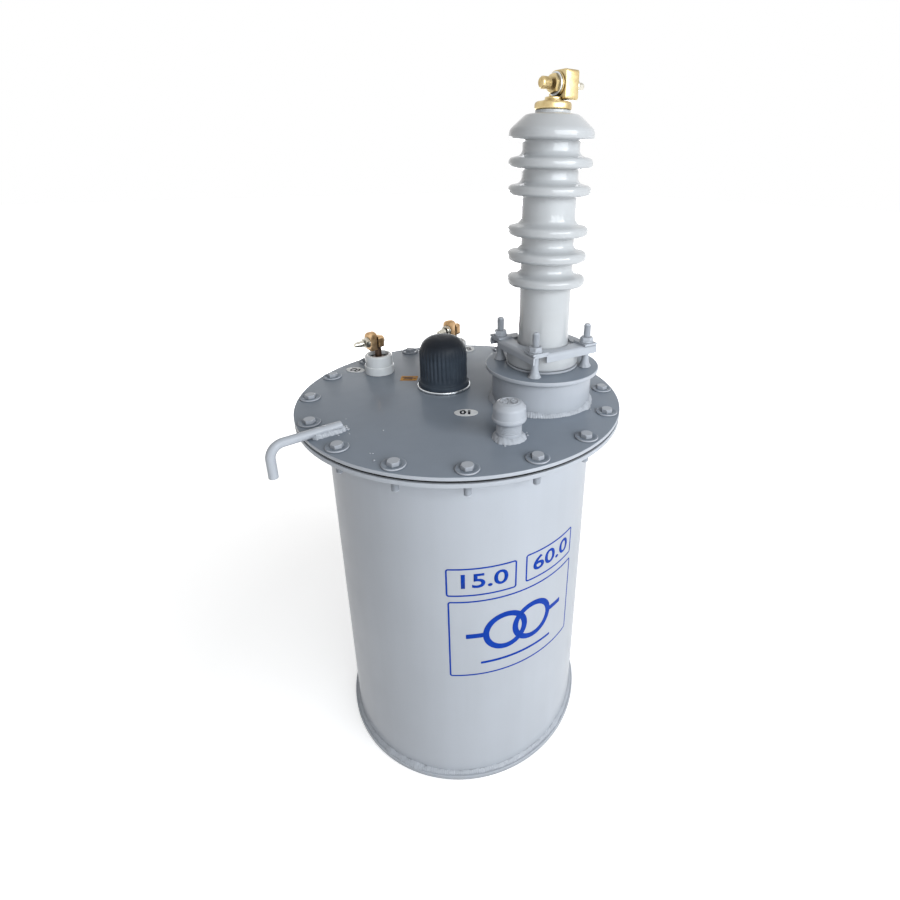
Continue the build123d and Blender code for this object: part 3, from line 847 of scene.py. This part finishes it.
def hvTerminal(t):
    cap = settle(lathe("hvCap", t["cap"], 72), (0, 0, t["capLevel"] - t["level"]))
    foot = lathe("hvFoot", t["foot"], 48)
    block = cheekBlock("hvBlock", t)
    diameter, height, tip = t["bolt"]
    washers, nut, start = washersAndNut("hv", t)
    thread = threadedRod("hvThread", diameter / 2, tip - start, *t["thread"])
    thread = alongBolt(thread, height, start)
    tail = alongBolt(lathe("hvTail", t["tail"], 40), height, t["block"][0] + overlap)
    for part in (cap, foot, block, washers[0], nut, thread):
        dress(part, brass)
    dress(washers[1], zinc)
    dress(tail, plated)
    for name, node, group in (("hvTerminalCap", "hv_terminal_nut", [cap]),
                              ("hvTerminalBlock", "hv_terminal_block", [foot, block]),
                              ("hvTerminalBolt", "hv_terminal_bolt", washers + [nut, thread, tail])):
        piece = settle(joinPieces(name, group), (*hvPlace, t["level"]), t["turn"])
        handOver(piece, None, "brass", node)


def roundJaw(t):
    # turned collar with a rounded end, its two sides milled flat
    start, end, radius, rounding, width = t["jaw"]
    rim, flatEdge = t["jawEdges"]
    length = end - start
    jaw = lathe("lvJaw", [(0, 0, 0), (radius, 0, rim), (radius, length, rounding), (0, length, 0)], 64)
    editMesh(jaw)
    for way in (-1, 1):
        selectAll()
        bpy.ops.mesh.bisect(plane_co=(0, way * width / 2 * mm, 0), plane_no=(0, way, 0),
                            use_fill=True, clear_outer=True)
    selectWhere(jaw, lambda edge: edge.calc_face_angle(0) > math.radians(35), "edges")
    bpy.ops.mesh.bevel(offset=flatEdge * mm, segments=2, affect="EDGES", clamp_overlap=True)
    leaveEdit(jaw, 30)
    return alongBolt(jaw, t["bolt"][1], start)


def lvTerminal(t):
    block = cheekBlock("lvBlock", t)
    post = lathe("lvPost", t["post"], 40)
    jaw = roundJaw(t)
    diameter, height, tip = t["bolt"]
    radius = diameter / 2
    washers, nut, start = washersAndNut("lv", t)
    point = lathe("lvPoint", [(0, 0, 0), (radius, 0, 0), (radius - 0.3, 3, 1),
                              (radius - 2, tip - start, 1.6), (0, tip - start, 0)], 40)
    point = alongBolt(point, height, start)
    shankEnd = t["nutStart"] + overlap
    shank = lathe("lvShank", [(0, t["shankFrom"], 0), (radius, t["shankFrom"], 1),
                              (radius, shankEnd, 0), (0, shankEnd, 0)], 40)
    bolt = washers + [nut, point, alongBolt(shank, height, 0)]
    for part in bolt:
        dress(part, plated)
    return {"block": [dress(post, darkBronze), dress(block, bronze)],
            "jaw": [dress(jaw, bronze)], "bolt": bolt}


hvTerminal(hvTerminalSet)
lvParts = {key: joinPieces("lvTerminal", group) for key, group in lvTerminal(lvTerminalSet).items()}
for number, turn in lvTerminalSet["turns"].items():
    place = (*lvPorcelainSet["lv_bushing_" + number], lvTerminalSet["level"])
    for key, part in lvParts.items():
        piece = twin(part, place, turn)
        piece.name = f"lvTerminal{number}.{key}"
        handOver(piece, None, "brass", f"lv_terminal_{number}_{key}")
for part in lvParts.values():
    bpy.data.objects.remove(part)
print("terminals built")


# tap cap and relief valve

tapSet = {
    "centre": (-0.91, 42.0),
    "seat": (20, 41.5, 4),  # bore, radius, height
    "seatEdges": (0.6, 1.4),
    "skirt": [(39.75, 0, 0.6), (39.75, 5, 1.2), (38.45, 7, 0.8), (37, 7.6, 1), (36.5, 10, 0.8)],
    "radius": 36.5,
    "height": 78,
    "shoulder": 26,
    "dome": 1.5,
    "flutes": 36,
    "fluteStart": 15,
    "fluteDepth": 1.5,
    "fluteSharp": 1.4,
    "fluteUneven": (0.45, 5),  # share, waves round the cap
    "fadeIn": 3,
    "fadeOut": (13, 15),  # past the shoulder's spring, length
    "springRow": 4,
    "stepsEach": 10,
}


def tapCap(t):
    radius, high, start, flutes = t["radius"], t["height"], t["fluteStart"], t["flutes"]
    brow = high - t["dome"]
    spring = brow - t["shoulder"]
    corners = [(0, 0, 0), *t["skirt"], (radius, start, 0), (radius, start + t["fadeIn"], 0),
               (radius, spring - t["springRow"], 0), (radius, brow, t["shoulder"]), (0, high, 0)]
    cap = lathe("tapCap", corners, flutes * t["stepsEach"], 50)
    share, waves = t["fluteUneven"]
    past, fadeLength = t["fadeOut"]

    def flute(point):
        reach, height = math.hypot(point.x, point.y) / mm, point.z / mm
        if reach <= 0.75 * radius or height <= start:
            return point
        angle = math.atan2(point.y, point.x)
        groove = (0.5 + 0.5 * math.cos(angle * flutes)) ** t["fluteSharp"]
        spot = Vector((math.cos(angle) * waves, math.sin(angle) * waves, 0))
        uneven = 1 + share * noise.noise(spot)
        fade = min(1, (height - start) / t["fadeIn"])
        fade *= min(1, max(0, (spring + past - height) / fadeLength))
        return narrowed(point, 1 - t["fluteDepth"] * groove * uneven * fade / reach)

    workMesh(cap, flute, 50)
    return settle(cap, (*t["centre"], coverTop + t["seat"][2]))


def tapSeat(t):
    bore, radius, height = t["seat"]
    low, high = t["seatEdges"]
    corners = [(bore, 0, 0), (radius, 0, low), (radius, height, high), (bore, height, 0)]
    return settle(lathe("tapSeat", corners, 120), (*t["centre"], coverTop))


handOver(tapCap(tapSet), plastic, "black_plastic", "tap_cap")
handOver(tapSeat(tapSet), zinc, "tank_paint", "tap_cap_seat")

reliefSet = {
    "centre": (-34.18, -154.18),
    "pipe": 16.7,
    "threadFrom": 9.0,
    "threadTo": 24,
    "threadDepth": 0.55,  # share of the pitch
    "pitch": 2.2,
    "pipePast": 4,
    "cap": [(0, 23, 0), (18.9, 23, 0.6), (21.7, 25.6, 1.4), (22.3, 27.2, 1), (22.3, 29.6, 1.2),
            (21.1, 30.8, 1), (21.1, 42, 1), (20.5, 44.6, 3), (14.9, 50.1, 5), (12.6, 50.1, 0.3),
            (12, 50.9, 0.3), (10.8, 50.9, 0.3), (10.2, 50.1, 0.3), (0, 50.1, 0)],
    "spokes": 7,
    "spoke": [(2.2, 0, 0.3), (9.6, 0, 0.3), (9.6, 1.2, 0.4), (2.2, 1.2, 0.4)],
    "spokeWide": 1.5,
    "spokeEdge": 0.3,
    "spokeLevel": 49.7,
    "spokeTurn": 12,
}


def reliefCap(r):
    parts = [lathe("reliefCap", r["cap"], 72)]
    for index in range(r["spokes"]):
        spoke = slab("reliefSpoke", r["spoke"], r["spokeWide"], r["spokeEdge"])
        settle(spoke, (0, -r["spokeWide"] / 2, r["spokeLevel"]))
        parts.append(settle(spoke, turn=r["spokeTurn"] + 360 / r["spokes"] * index))
    return joinPieces("reliefCap", parts)


def reliefPipe(r):
    radius, pitch, level = r["pipe"], r["pitch"], r["threadFrom"]
    root = radius - r["threadDepth"] * pitch
    corners = [(0, 0, 0), (radius, 0, 0)]
    while level < r["threadTo"]:
        corners += [(radius, level, 0.25), (root, level + pitch / 2, 0.2)]
        level += pitch
    top = level + r["pipePast"]
    return lathe("reliefPipe", corners + [(root, top, 0), (0, top, 0)], 64)


for maker, node in ((reliefCap, "relief_cap"), (reliefPipe, "relief_pipe")):
    piece = settle(maker(reliefSet), (*reliefSet["centre"], coverTop))
    handOver(piece, paint, "tank_paint", node)
print("tap cap and relief built")


# hooks and pole brackets

easedCopies("liftingHook", "lifting_hook", ("left", "right"), 0.8)
easedCopies("poleBracket", "pole_bracket", ("upper", "lower"), 0.7)
print("hooks and brackets built")


# weld beads

beadSet = {
    "moved": 0.3,  # share of the leg past which the face is worked
    "lean": 1.8,
    "ripple": 0.1,
    "wander": (1.5, 60),  # share, grain
    "across": 2.4,
    "swells": ((0.5, 70), (0.45, 190), (0.2, 360)),  # share, grain
    "swell": 0.42,
    "lump": (0.8, 0.5),
    "sunk": 0.8,
    "toe": 0.3,
    "belly": 0.58,
}

weldSet = {  # lumps: degrees round the ring, width in degrees, gain
    "baseBead": {
        "node": "base_weld", "centre": (0, 0), "radius": tankRadius, "level": 8,
        "leg": 4.6, "pitch": 3.6, "rough": 0.8, "steps": 1440,
        "lumps": ((-150, 7, 0.5), (-164, 3, 0.6), (-75, 2, 0.4), (20, 4, 0.5), (118, 6, 0.5))},
    "turretBead": {
        "node": "hv_turret_weld", "centre": hvPlace, "radius": 73, "level": coverTop,
        "leg": 4.6, "pitch": 3.4, "rough": 0.75, "steps": 720,
        "lumps": ((-141, 9, 0.5), (-71, 8, 0.9), (30, 7, 0.6), (150, 6, 0.6))},
    "reliefBead": {
        "node": "relief_weld", "centre": reliefSet["centre"], "radius": reliefSet["pipe"],
        "level": coverTop, "leg": 5.6, "pitch": 5.4, "rough": 0.5, "steps": 240,
        "lumps": ((-50, 24, 0.3), (-165, 26, 0.3), (80, 25, 0.3))},
}


def roughBead(obj, corner, leg, pitch, rough, along, lumps=(), drawn=1, b=beadSet):
    # pushes the bead's face in and out: crescent ripples, slow swelling and fine crumbs
    wander, wanderGrain = b["wander"]
    lump, lumpSwell = b["lump"]

    def work(point):
        base, out = corner(point)
        if out.length <= b["moved"] * leg * mm:
            return point
        run = along(point)
        lean = out.z / (leg * mm) * b["lean"] + wander * noise.noise(point * wanderGrain)
        wave = math.sin(run / pitch * 2 * math.pi + lean)
        spot = base * drawn + out * b["across"]
        swell = sum(share * noise.noise(spot * grain) for share, grain in b["swells"])
        grow = sum(gain * math.exp(-((run - place) / width) ** 2) for place, width, gain in lumps)
        grow *= lump + lumpSwell * swell
        return base + out * (1 + rough * (b["ripple"] * drawn * wave + b["swell"] * swell) + grow)

    reshape(obj, work)


def weldRing(name, w, b=beadSet):
    radius, level, leg = w["radius"], w["level"], w["leg"]
    inside, under, belly = radius - b["sunk"], level - b["sunk"], b["belly"] * leg
    bead = drawOutline(name, [
        (inside, under, 0), (radius + leg, under, 0), (radius + leg, level + b["toe"], 0.8),
        (radius + belly, level + belly, 3), (radius + b["toe"], level + leg, 0.8),
        (inside, level + leg, 0)])
    spinRound(w["steps"], mm / 200)
    faceOut()

    def corner(point):
        flat = Vector((point.x, point.y, 0)).normalized() * radius * mm
        base = flat + Vector((0, 0, level * mm))
        return base, point - base

    def along(point):
        return math.atan2(point.y, point.x) * radius

    lumps = [(math.radians(angle) * radius, math.radians(width) * radius, gain)
             for angle, width, gain in w["lumps"]]
    roughBead(bead, corner, leg, w["pitch"], w["rough"], along, lumps)
    leaveEdit(bead, 60)
    settle(bead, (*w["centre"], 0))
    return handOver(bead, paint, "tank_paint", w["node"])


for name, weld in weldSet.items():
    weldRing(name, weld)

hookBeadSet = {
    "inner": 187,
    "outer": 233,
    "beside": 3.4,
    "leg": 7.4,
    "outline": [(-2.2, -0.6, 0), (7.4, -0.6, 0), (7.4, 0.4, 0.8), (4.44, 4.884, 3),
                (-0.4, 7.4, 0.8), (-2.2, 7.4, 0)],
    "fade": (9, 0.25),  # slope and least share at the ends
    "pitch": 6.5,
    "shift": 1.7,  # sets the two hooks' ripples apart
    "steps": 110,
    "rough": 1.3,
    "drawn": 0.55,
}


def hookBead(h, way, side):
    # bead laid in the corner between the hook's rod and the cover, crumbled at its ends
    bead = drawOutline("hookBead", h["outline"])
    bpy.ops.mesh.edge_face_add()
    length = h["outer"] - h["inner"]
    stepLength = length / h["steps"] * mm
    for step in range(h["steps"]):
        bpy.ops.mesh.extrude_region_move(TRANSFORM_OT_translate={"value": (0, stepLength, 0)})
    slope, least = h["fade"]

    def fadeEnds(point):
        share = point.y / mm / length
        fade = min(1, slope * share + least, slope * (1 - share) + least)
        across, up = (size * fade if size > 0 else size for size in (point.x, point.z))
        return Vector((across, point.y, up))

    def corner(point):
        base = Vector((0, point.y, 0))
        return base, point - base

    def along(point):
        return point.y / mm + h["shift"] * way + side

    reshape(bead, fadeEnds)
    roughBead(bead, corner, h["leg"], h["pitch"], h["rough"], along, drawn=h["drawn"])
    faceOut()
    leaveEdit(bead, 60)
    settle(bead, turn=90 * side)  # now its run lies along the rod
    low = min(vert.co.x for vert in bead.data.vertices) / mm
    start = h["inner"] if way > 0 else -h["outer"]
    return settle(bead, (start - low, side * h["beside"], coverTop))


for way, sideName in ((-1, "left"), (1, "right")):
    beads = [hookBead(hookBeadSet, way, side) for side in (-1, 1)]
    handOver(joinPieces("hookBead." + sideName, beads), paint, "tank_paint")

spatterSet = {
    "drops": [  # x, y, radius
        (-186.5, -6, 2.6), (-184, 4.5, 2.1), (-185.5, -1, 2.4), (-190.3, -18.7, 1.3),
        (-151.5, -37.6, 1.2), (-193.5, -81.6, 1.3), (-191, -84.3, 1.1), (-197.5, -100.2, 1.4),
        (-174.5, 24.8, 0.9), (-203, -14.6, 1.6), (185.5, -3, 2.3), (184.6, 4, 2.0),
        (189, 17, 1.2), (172, -22, 1.1), (165.5, -109, 1.8), (112.5, -164, 1.5),
        (27, -131, 1.7), (21.5, -125, 1.3), (-54, -170, 1.5), (-13, -166, 1.7), (-8.5, -160, 1.1)],
    "uneven": (0.45, 600),  # share, grain
    "flat": 0.7,
    "turn": 37,  # degrees for each millimetre of x
}


def spatterDrop(s, x, y, radius):
    clearSelection()
    bpy.ops.mesh.primitive_ico_sphere_add(subdivisions=2, radius=radius * mm)
    drop = bpy.context.object
    share, grain = s["uneven"]

    def dent(point):
        bulge = 1 + share * noise.noise(point * grain + Vector((x, y, 0)))
        return Vector((point.x * bulge, point.y * bulge, point.z * bulge * s["flat"]))

    workMesh(drop, dent, 60)
    return settle(drop, (x, y, coverTop), s["turn"] * x)


drops = [spatterDrop(spatterSet, *drop) for drop in spatterSet["drops"]]
handOver(joinPieces("weldSpatter", drops), paint, "tank_paint")
print("welds laid")


# cover bolts

boltSet = {
    "count": 16,
    "first": 11.25,
    "circle": 222.2,
    "washer": [(4, 0, 0), (14.5, 0, 0.4), (15, 0.9, 0.4), (14.6, 2.4, 0.8), (12, 2.4, 0.6),
               (8.6, 1.5, 1.0), (4, 1.5, 0)],
    "head": (14.2, 10, 1.1),  # across flats, height, chamfer
    "headLevel": 1.5,
    "stub": (4.75, 25, 1.5, 1.2),  # radius, length, pitch, taper
    "stubLow": 549.5,
    "turn": 15,
    "turnSpread": (9, 2.4),  # degrees, step from bolt to bolt
}


def coverBolt(b):
    washer = lathe("boltWasher", b["washer"], 48, 45)
    head = settle(hexagon("boltHead", *b["head"]), (0, 0, b["headLevel"]))
    top = b["stubLow"] - coverTop + b["stub"][1]
    stub = settle(threadedRod("boltStub", *b["stub"]), (0, 0, top), tilt=(180, 0))
    return joinPieces("coverBolt", [dressShadedTop(washer), dress(head, paint), dress(stub, paint)])


bolt = coverBolt(boltSet)
spread, stride = boltSet["turnSpread"]
for index in range(boltSet["count"]):
    angle = math.radians(boltSet["first"] + 360 / boltSet["count"] * index)
    place = (boltSet["circle"] * math.cos(angle), boltSet["circle"] * math.sin(angle), coverTop)
    piece = twin(bolt, place, boltSet["turn"] + spread * math.sin(stride * index))
    piece.name = f"coverBolt.{index + 1:02d}"
    handOver(piece, None, "tank_paint")
bpy.data.objects.remove(bolt)
print("cover bolts set")


# print on the tank and labels on the cover

decalSet = {
    "lift": 0.22,
    "thick": 0.3,
    "line": 2.3,
    "corner": 4,
    "boxes": {
        "frameSmall1": (-132.5, -104.2, 373, 420),  # degrees round the tank, then millimetres up
        "frameSmall2": (-100.1, -72.4, 375, 421.5),
        "frameLarge": (-132, -72, 224, 364),
    },
    "numbers": {"numberLeft": ("15.0", -118.3, 397, 33), "numberRight": ("60.0", -86.2, 399, 33)},
    "numberBold": 0.5,
    "numberWide": 1.3,
    "ring": (34, 25, 22),  # outer radius, inner radius, offset of the two rings
    "ringPlace": (-102, 300),
    "lead": (26, 8, 67),  # length, height, offset
    "stripe": (118, 4),
    "stripePlace": (-102, 247),
    "slice": 4,
}


def wrapOnTank(obj, angle, height, d=decalSet):
    # flat X becomes the way round the tank, flat Y its height, then a thin closed film
    editMesh(obj)
    reach = max(abs(vert.co.x) for vert in obj.data.vertices) / mm
    slices = math.ceil(reach / d["slice"])
    for step in range(-slices, slices + 1):
        selectAll()
        bpy.ops.mesh.bisect(plane_co=(step * d["slice"] * mm, 0, 0), plane_no=(1, 0, 0),
                            threshold=mm / 1000)
    radius = (tankRadius + d["lift"]) * mm

    def wrap(point):
        turn = math.radians(angle) + point.x / (tankRadius * mm)
        return Vector((radius * math.cos(turn), radius * math.sin(turn), point.y + height * mm))

    reshape(obj, wrap)
    closeMesh()
    return handOver(thicken(obj, d["thick"], -1), inkBlue, "tank_paint")


def flatPlate(name, width, height, corner, segments, place=(0, 0)):
    # left in edit mode with all of it selected
    clearSelection()
    bpy.ops.mesh.primitive_plane_add(size=1, location=(place[0] * mm, place[1] * mm, 0))
    obj = newest(name)
    obj.scale = (width * mm, height * mm, 1)
    applyPlace()
    editMesh(obj)
    bpy.ops.mesh.bevel(offset=corner * mm, segments=segments, affect="VERTICES")
    selectAll()
    return obj


def hollowOut(obj, line):
    bpy.ops.mesh.inset(thickness=line * mm)
    bpy.ops.mesh.delete(type="FACE")
    closeMesh()
    return obj


def flatFrame(name, width, height, line, corner):
    return hollowOut(flatPlate(name, width, height, corner, 5), line)


def flatBar(name, width, height, place=(0, 0), corner=1.2):
    bar = flatPlate(name, width, height, corner, 4, place)
    closeMesh()
    return bar


def flatRing(name, outer, inner, across):
    clearSelection()
    bpy.ops.mesh.primitive_circle_add(vertices=72, radius=outer * mm, fill_type="NGON",
                                      location=(across * mm, 0, 0))
    obj = newest(name)
    applyPlace()
    editMesh(obj)
    return hollowOut(obj, outer - inner)


def flatNumber(name, body, size, bold, wide):
    clearSelection()
    bpy.ops.object.text_add(location=(0, 0, 0))
    obj = newest(name)
    obj.data.body = body
    obj.data.size = size * mm
    obj.data.offset = bold * mm
    obj.data.align_x = "CENTER"
    obj.data.align_y = "CENTER"
    bpy.ops.object.convert(target="MESH")
    obj = bpy.context.object
    obj.scale = (wide, 1, 1)
    applyPlace()
    editMesh(obj)
    bpy.ops.mesh.remove_doubles(threshold=mm / 100)
    closeMesh()
    return obj


def tankPrint(d):
    for name, (start, end, low, high) in d["boxes"].items():
        width = math.radians(end - start) * tankRadius
        box = flatFrame(name, width, high - low, d["line"], d["corner"])
        wrapOnTank(box, (start + end) / 2, (low + high) / 2)
    for name, (body, angle, height, size) in d["numbers"].items():
        wrapOnTank(flatNumber(name, body, size, d["numberBold"], d["numberWide"]), angle, height)
    outer, inner, across = d["ring"]
    rings = [flatRing("coilRing", outer, inner, way * across) for way in (-1, 1)]
    wrapOnTank(joinPieces("coilSymbol", rings), *d["ringPlace"])
    length, height, across = d["lead"]
    leads = [flatBar("lead", length, height, (way * across, 0)) for way in (-1, 1)]
    wrapOnTank(joinPieces("coilLeads", leads), *d["ringPlace"])
    wrapOnTank(flatBar("printStripe", *d["stripe"]), *d["stripePlace"])


labelSet = {
    "oval": (17, 11.5),
    "ovalRim": (0.5, 0.1),  # inset, rise
    "ovalLift": 0.3,
    "thick": 0.5,
    "labels": {"01": (-34.2, -61.7, -38), "02": (-79.5, 191.4, 120), "03": (138.1, 164.3, 60)},
    "number": (17, 0.7, 1.05),  # size, bold, wide
    "numberLift": 0.62,
    "inkThick": 0.2,
    "tagPlace": (-28.2, 102.4, -38),  # x, y, turn
    "tag": (27, 19),
    "tagLift": -0.05,
    "tagBars": ((-3, 4, 17, 2.6), (1.5, -0.5, 19, 2.6), (-2, -5, 15, 2.6)),  # across, up, width, height
    "barCorner": 0.5,
    "barLift": 0.42,
}


def layOnCover(obj, x, y, turn, lift, material):
    handOver(settle(obj, (x, y, coverTop + lift), turn), material, "tank_paint")


def coverLabel(l, number, place):
    clearSelection()
    bpy.ops.mesh.primitive_circle_add(vertices=48, radius=1, fill_type="NGON")
    oval = newest("label.oval." + number)
    oval.scale = (l["oval"][0] * mm, l["oval"][1] * mm, 1)
    applyPlace()
    inset, rise = l["ovalRim"]
    editMesh(oval)
    bpy.ops.mesh.inset(thickness=inset * mm)
    bpy.ops.transform.translate(value=(0, 0, rise * mm))
    leaveEdit(oval)
    layOnCover(thicken(oval, l["thick"], 0), *place, l["ovalLift"], labelWhite)
    text = thicken(flatNumber("label.number." + number, number, *l["number"]), l["inkThick"], 1)
    layOnCover(text, *place, l["numberLift"], inkBlack)


def coverTag(l):
    tag = thicken(flatBar("coverTag", *l["tag"]), l["thick"], 1)
    layOnCover(tag, *l["tagPlace"], l["tagLift"], tagOrange)
    bars = [flatBar("bar", wide, tall, (across, up), l["barCorner"])
            for across, up, wide, tall in l["tagBars"]]
    bars = thicken(joinPieces("coverTag.bars", bars), l["inkThick"], 1)
    layOnCover(bars, *l["tagPlace"], l["barLift"], inkBlack)


tankPrint(decalSet)
for number, place in labelSet["labels"].items():
    coverLabel(labelSet, number, place)
coverTag(labelSet)
print("print and labels laid")


# finishes on the nodes of the frame

for name, obj in nodes.items():
    finish = {"tap_cap": plastic, "cover_gasket": rubber, "cover_plate": shadedTopPaint}.get(name, paint)
    if "bushing" in name:
        finish = glaze
    elif "terminal" in name:
        finish = brass
    dress(obj, finish)
print("finishes on the frame")


# floor

floorSet = {"size": 30, "pale": 0.8, "rough": 0.9, "nearGlow": 0.5, "near": 0.5, "far": 2.2}


def addFloor(f):
    clearSelection()
    bpy.ops.mesh.primitive_plane_add(size=f["size"], location=(0, 0, 0))
    floor = newest("studioFloor")
    m = newMaterial("studioFloor")
    reach = addNode(m.tree, "VectorMath", {0: m.spots}, operation="LENGTH")
    spread = addNode(m.tree, "MapRange", {
        "From Min": f["near"], "From Max": f["far"], "To Min": f["nearGlow"], "To Max": 1,
        "Value": reach.outputs["Value"]})
    glow = addNode(m.tree, "Math", {0: spread.outputs["Result"], 1: addSeenWhite(m.tree)},
                   operation="MULTIPLY")
    floor.data.materials.append(shaded(m, {
        "Base Color": (f["pale"], f["pale"], f["pale"], 1), "Roughness": f["rough"],
        "Emission Color": (1, 1, 1, 1), "Emission Strength": glow.outputs["Value"]}))


addFloor(floorSet)
